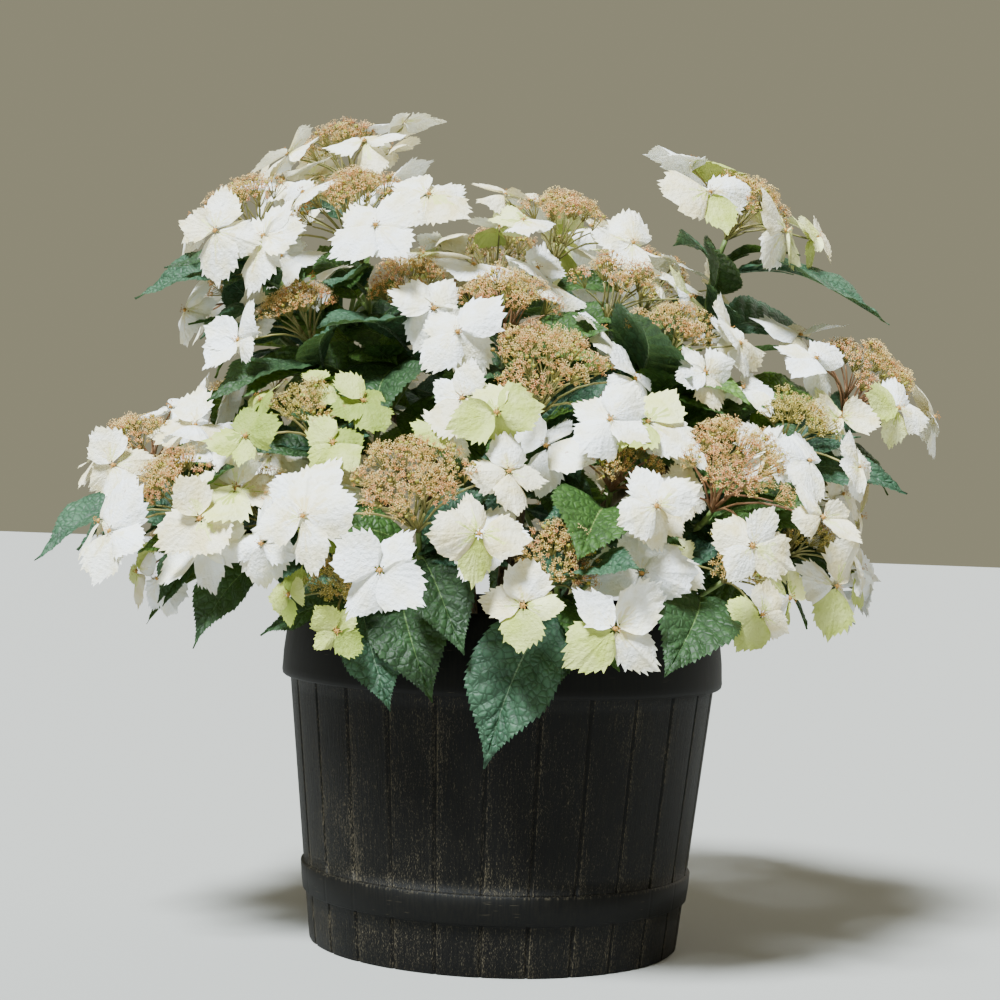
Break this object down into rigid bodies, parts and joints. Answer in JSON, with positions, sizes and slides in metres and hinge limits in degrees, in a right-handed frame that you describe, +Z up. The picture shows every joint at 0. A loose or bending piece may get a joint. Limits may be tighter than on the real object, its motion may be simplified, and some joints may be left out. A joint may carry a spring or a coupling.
{
  "type": "potted lacecap hydrangea shrub",
  "caption": "Bushy lacecap hydrangea with white flower heads, growing in a black half-barrel planter that stands on its flat foot.",
  "frame": {"origin": "centre of the planter's flat underside", "axes": "+Z up along the planter's axis, -Y towards the plant's front"},
  "size_m": [0.7202, 0.6047, 0.687],
  "materials": {
    "planter": "charcoal-black moulded plastic with a fine wood grain and gold-bronze dry brushing along the stave edges",
    "compost": "moist dark crumbly compost",
    "stem": "smooth green-brown bark",
    "leaf": "satin dark green with a paler midrib and side veins",
    "floret": "matt white sepals, cream to lime green on the young heads",
    "lace": "salmon-orange buds on olive stalks"
  },
  "bodies": {
    "root": {"compost": "compost", "flower_head_back_1": "floret", "flower_head_back_2": "floret", "flower_head_back_3": "floret", "flower_head_back_left_1": "floret", "flower_head_back_left_2": "floret", "flower_head_back_left_3": "floret", "flower_head_back_left_4": "floret", "flower_head_back_right_1": "floret", "flower_head_back_right_2": "floret", "flower_head_back_right_3": "floret", "flower_head_back_right_4": "floret", "flower_head_front_left_1": "floret", "flower_head_front_left_2": "floret", "flower_head_front_right_1": "floret", "flower_head_front_right_2": "floret", "flower_head_front_right_3": "floret", "flower_head_left_1": "floret", "flower_head_left_2": "floret", "flower_head_left_3": "floret", "flower_head_low_left_1": "floret", "flower_head_low_left_2": "floret", "flower_head_low_left_3": "floret", "flower_head_low_left_4": "floret", "flower_head_middle_1": "floret", "flower_head_middle_2": "floret", "flower_head_middle_3": "floret", "flower_head_right_1": "floret", "flower_head_right_2": "floret", "flower_head_right_3": "floret", "flower_head_right_4": "floret", "flower_head_top_left_1": "floret", "flower_head_top_left_2": "floret", "flower_head_top_left_3": "floret", "flower_head_top_right_1": "floret", "flower_head_top_right_2": "floret", "flower_head_top_right_3": "floret", "foliage_back": "leaf", "foliage_back_left": "leaf", "foliage_back_right": "leaf", "foliage_front_left": "leaf", "foliage_front_right": "leaf", "foliage_left": "leaf", "foliage_low_left": "leaf", "foliage_middle": "leaf", "foliage_right": "leaf", "foliage_top_left": "leaf", "foliage_top_right": "leaf", "planter": "planter", "stem_back": "stem", "stem_back_left": "stem", "stem_back_right": "stem", "stem_front_left": "stem", "stem_front_right": "stem", "stem_left": "stem", "stem_low_left": "stem", "stem_middle": "stem", "stem_right": "stem", "stem_top_left": "stem", "stem_top_right": "stem"}
  },
  "joints": []
}
